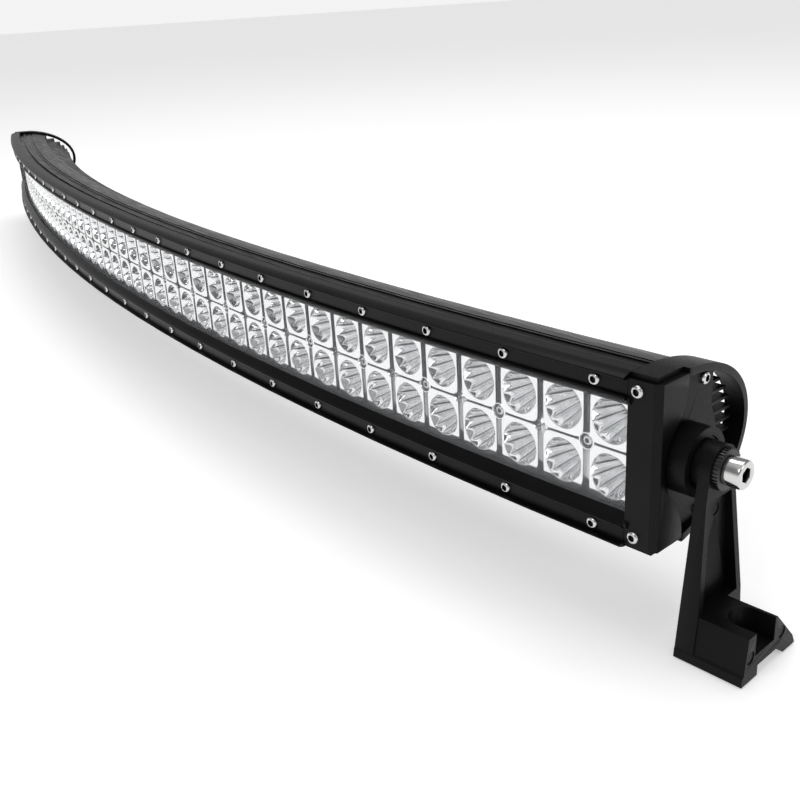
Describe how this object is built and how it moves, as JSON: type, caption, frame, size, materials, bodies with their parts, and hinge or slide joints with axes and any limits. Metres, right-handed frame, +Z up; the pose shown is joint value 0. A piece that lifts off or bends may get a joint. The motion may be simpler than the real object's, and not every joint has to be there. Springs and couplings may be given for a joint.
{
  "type": "led light bar",
  "caption": "Curved double-row LED light bar in a finned black housing, with a clear cover, end caps and two tilting feet on pivot bolts.",
  "frame": {"origin": "middle of the footprint of the bar's box on the plane that the feet stand on", "axes": "+X to the bar's own left end as it shines, along its length; +Y from the lens to the rear fins; +Z up from the feet"},
  "size_m": [1.3882, 0.1489, 0.1248],
  "materials": {
    "housing_black": "anodised, satin black",
    "bezel_black": "powder coated, fine texture",
    "cap_black": "die cast, powder coated",
    "bracket_black": "die cast, powder coated",
    "lens_clear": "clear, polished",
    "reflector_chrome": "bright metallised plastic",
    "board_white": "white solder mask",
    "chip_yellow": "phosphor under a clear dome",
    "screw_steel": "stainless",
    "bolt_steel": "stainless, polished",
    "washer_steel": "dark, serrated",
    "seal_rubber": "matt",
    "gland_plastic": "black nylon"
  },
  "bodies": {
    "lamp": {"housing": "housing_black", "bezel_strip_top": "bezel_black", "bezel_strip_bottom": "bezel_black", "lens": "lens_clear", "lens_gasket": "seal_rubber", "led_chips": "chip_yellow", "reflector_screws": "screw_steel", "bezel_screws_top": "screw_steel", "bezel_screws_bottom": "screw_steel", "corner_screws": "screw_steel", "end_cap_screws": "screw_steel", "cable_gland": "gland_plastic", "gland_nut": "gland_plastic", "breather_plug": "gland_plastic", "reflector_01": "reflector_chrome", "reflector_02": "reflector_chrome", "reflector_03": "reflector_chrome", "reflector_04": "reflector_chrome", "reflector_05": "reflector_chrome", "reflector_06": "reflector_chrome", "reflector_07": "reflector_chrome", "reflector_08": "reflector_chrome", "reflector_09": "reflector_chrome", "reflector_10": "reflector_chrome", "reflector_11": "reflector_chrome", "reflector_12": "reflector_chrome", "reflector_13": "reflector_chrome", "reflector_14": "reflector_chrome", "reflector_15": "reflector_chrome", "reflector_16": "reflector_chrome", "reflector_17": "reflector_chrome", "reflector_18": "reflector_chrome", "reflector_19": "reflector_chrome", "reflector_20": "reflector_chrome", "reflector_21": "reflector_chrome", "reflector_22": "reflector_chrome", "reflector_23": "reflector_chrome", "reflector_24": "reflector_chrome", "led_board_1": "board_white", "led_board_2": "board_white", "led_board_3": "board_white", "led_board_4": "board_white", "led_board_5": "board_white", "led_board_6": "board_white", "end_seal_right": "seal_rubber", "bezel_end_right": "bezel_black", "end_cap_right": "cap_black", "pivot_bolt_right": "bolt_steel", "end_seal_left": "seal_rubber", "bezel_end_left": "bezel_black", "end_cap_left": "cap_black", "pivot_bolt_left": "bolt_steel"},
    "bracket_right": {"bracket_right": "bracket_black", "lock_washer_right": "washer_steel"},
    "bracket_left": {"bracket_left": "bracket_black", "lock_washer_left": "washer_steel"}
  },
  "joints": [
    {"name": "tilt_right", "type": "hinge", "parent": "lamp", "child": "bracket_right", "pos_m": [0.65508, 0.02084, 0.084], "axis": [0.9785, 0.2063, 0], "range_deg": [-90, 90]},
    {"name": "tilt_left", "type": "hinge", "parent": "lamp", "child": "bracket_left", "pos_m": [-0.65508, 0.02084, 0.084], "axis": [0.9785, -0.2063, 0], "range_deg": [-90, 90]}
  ]
}
